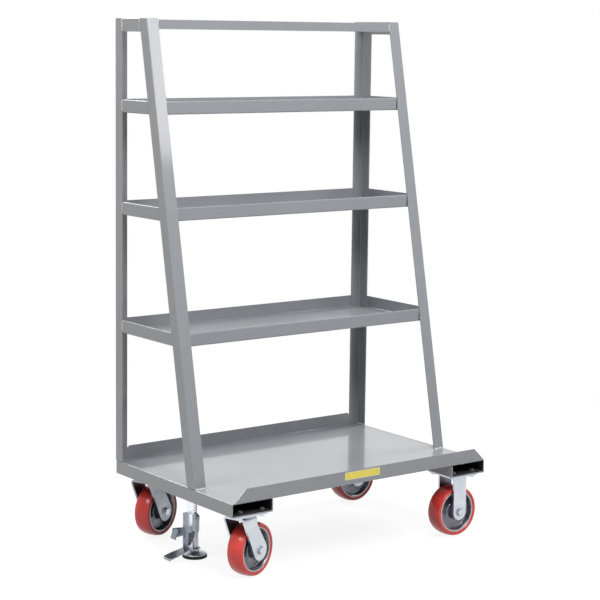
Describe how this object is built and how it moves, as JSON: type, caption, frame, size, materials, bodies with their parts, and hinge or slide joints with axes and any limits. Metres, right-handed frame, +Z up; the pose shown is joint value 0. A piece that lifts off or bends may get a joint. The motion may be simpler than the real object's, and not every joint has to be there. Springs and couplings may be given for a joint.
{
  "type": "a-frame panel cart",
  "caption": "A-frame steel panel cart: lipped deck on swivel and rigid casters, sloping front posts, tray shelves above, and a foot-operated floor lock.",
  "frame": {"origin": "on the floor, under the centre of the bounding box", "axes": "+X along the deck from the swivel casters and the floor lock to the rigid casters, +Y from the panel side to the upright rear posts, +Z up"},
  "size_m": [0.9336, 0.6096, 1.524],
  "materials": {
    "gray_paint": "semi-gloss",
    "zinc_plate": "bright zinc",
    "dark_steel": "satin",
    "red_urethane": "gloss",
    "black_rubber": "matte"
  },
  "bodies": {
    "cart": {"deck_pan": "gray_paint", "deck_channel_left": "gray_paint", "deck_channel_right": "gray_paint", "post_front_left": "gray_paint", "post_front_right": "gray_paint", "post_rear_left": "gray_paint", "post_rear_right": "gray_paint", "top_rail_left": "gray_paint", "top_rail_right": "gray_paint", "top_bar_front": "gray_paint", "shelf_upper": "gray_paint", "shelf_middle": "gray_paint", "shelf_lower": "gray_paint", "caster_front_left_plate": "zinc_plate", "caster_front_left_race": "zinc_plate", "caster_front_left_kingpin": "zinc_plate", "caster_rear_left_plate": "zinc_plate", "caster_rear_left_race": "zinc_plate", "caster_rear_left_kingpin": "zinc_plate", "caster_front_right_plate": "zinc_plate", "caster_front_right_fork": "zinc_plate", "caster_front_right_axle": "zinc_plate", "caster_front_right_bushing": "dark_steel", "caster_rear_right_plate": "zinc_plate", "caster_rear_right_fork": "zinc_plate", "caster_rear_right_axle": "zinc_plate", "caster_rear_right_bushing": "dark_steel", "lock_plate": "zinc_plate", "lock_housing": "zinc_plate", "lock_sleeve": "zinc_plate", "lock_spring": "zinc_plate", "lock_catch": "dark_steel"},
    "fork_front_left": {"caster_front_left_fork": "zinc_plate", "caster_front_left_axle": "zinc_plate", "caster_front_left_bushing": "dark_steel"},
    "fork_rear_left": {"caster_rear_left_fork": "zinc_plate", "caster_rear_left_axle": "zinc_plate", "caster_rear_left_bushing": "dark_steel"},
    "wheel_front_left": {"caster_front_left_core": "dark_steel", "caster_front_left_tread": "red_urethane"},
    "wheel_rear_left": {"caster_rear_left_core": "dark_steel", "caster_rear_left_tread": "red_urethane"},
    "wheel_front_right": {"caster_front_right_core": "dark_steel", "caster_front_right_tread": "red_urethane"},
    "wheel_rear_right": {"caster_rear_right_core": "dark_steel", "caster_rear_right_tread": "red_urethane"},
    "lock_foot": {"lock_plunger": "zinc_plate", "lock_cup": "zinc_plate", "lock_pad": "black_rubber", "lock_pedal": "zinc_plate", "lock_stem": "zinc_plate"},
    "lock_release": {"lock_release": "zinc_plate", "lock_release_pin": "zinc_plate"}
  },
  "joints": [
    {"name": "swivel_front_left", "type": "hinge", "parent": "cart", "child": "fork_front_left", "pos_m": [-0.37847, -0.2413, 0.1871], "axis": [0, 0, 1], "continuous": true},
    {"name": "swivel_rear_left", "type": "hinge", "parent": "cart", "child": "fork_rear_left", "pos_m": [-0.37847, 0.2413, 0.1871], "axis": [0, 0, 1], "continuous": true},
    {"name": "roll_front_left", "type": "hinge", "parent": "fork_front_left", "child": "wheel_front_left", "pos_m": [-0.33985, -0.22875, 0.07583], "axis": [-0.309, 0.9511, 0], "continuous": true},
    {"name": "roll_rear_left", "type": "hinge", "parent": "fork_rear_left", "child": "wheel_rear_left", "pos_m": [-0.34056, 0.25585, 0.07583], "axis": [-0.3584, 0.9336, 0], "continuous": true},
    {"name": "roll_front_right", "type": "hinge", "parent": "cart", "child": "wheel_front_right", "pos_m": [0.39093, -0.2413, 0.07583], "axis": [0, 1, 0], "continuous": true},
    {"name": "roll_rear_right", "type": "hinge", "parent": "cart", "child": "wheel_rear_right", "pos_m": [0.39093, 0.2413, 0.07583], "axis": [0, 1, 0], "continuous": true},
    {"name": "lock_slide", "type": "slide", "parent": "cart", "child": "lock_foot", "axis": [0, 0, 1], "range_m": [0, 0.02], "deforming": ["lock_spring"]},
    {"name": "release_pedal", "type": "hinge", "parent": "cart", "child": "lock_release", "pos_m": [-0.37527, 0.0188, 0.074], "axis": [0, -1, 0], "range_deg": [0, 8], "stiffness_Nm_per_rad": 0.5, "springref_deg": -17.19}
  ]
}
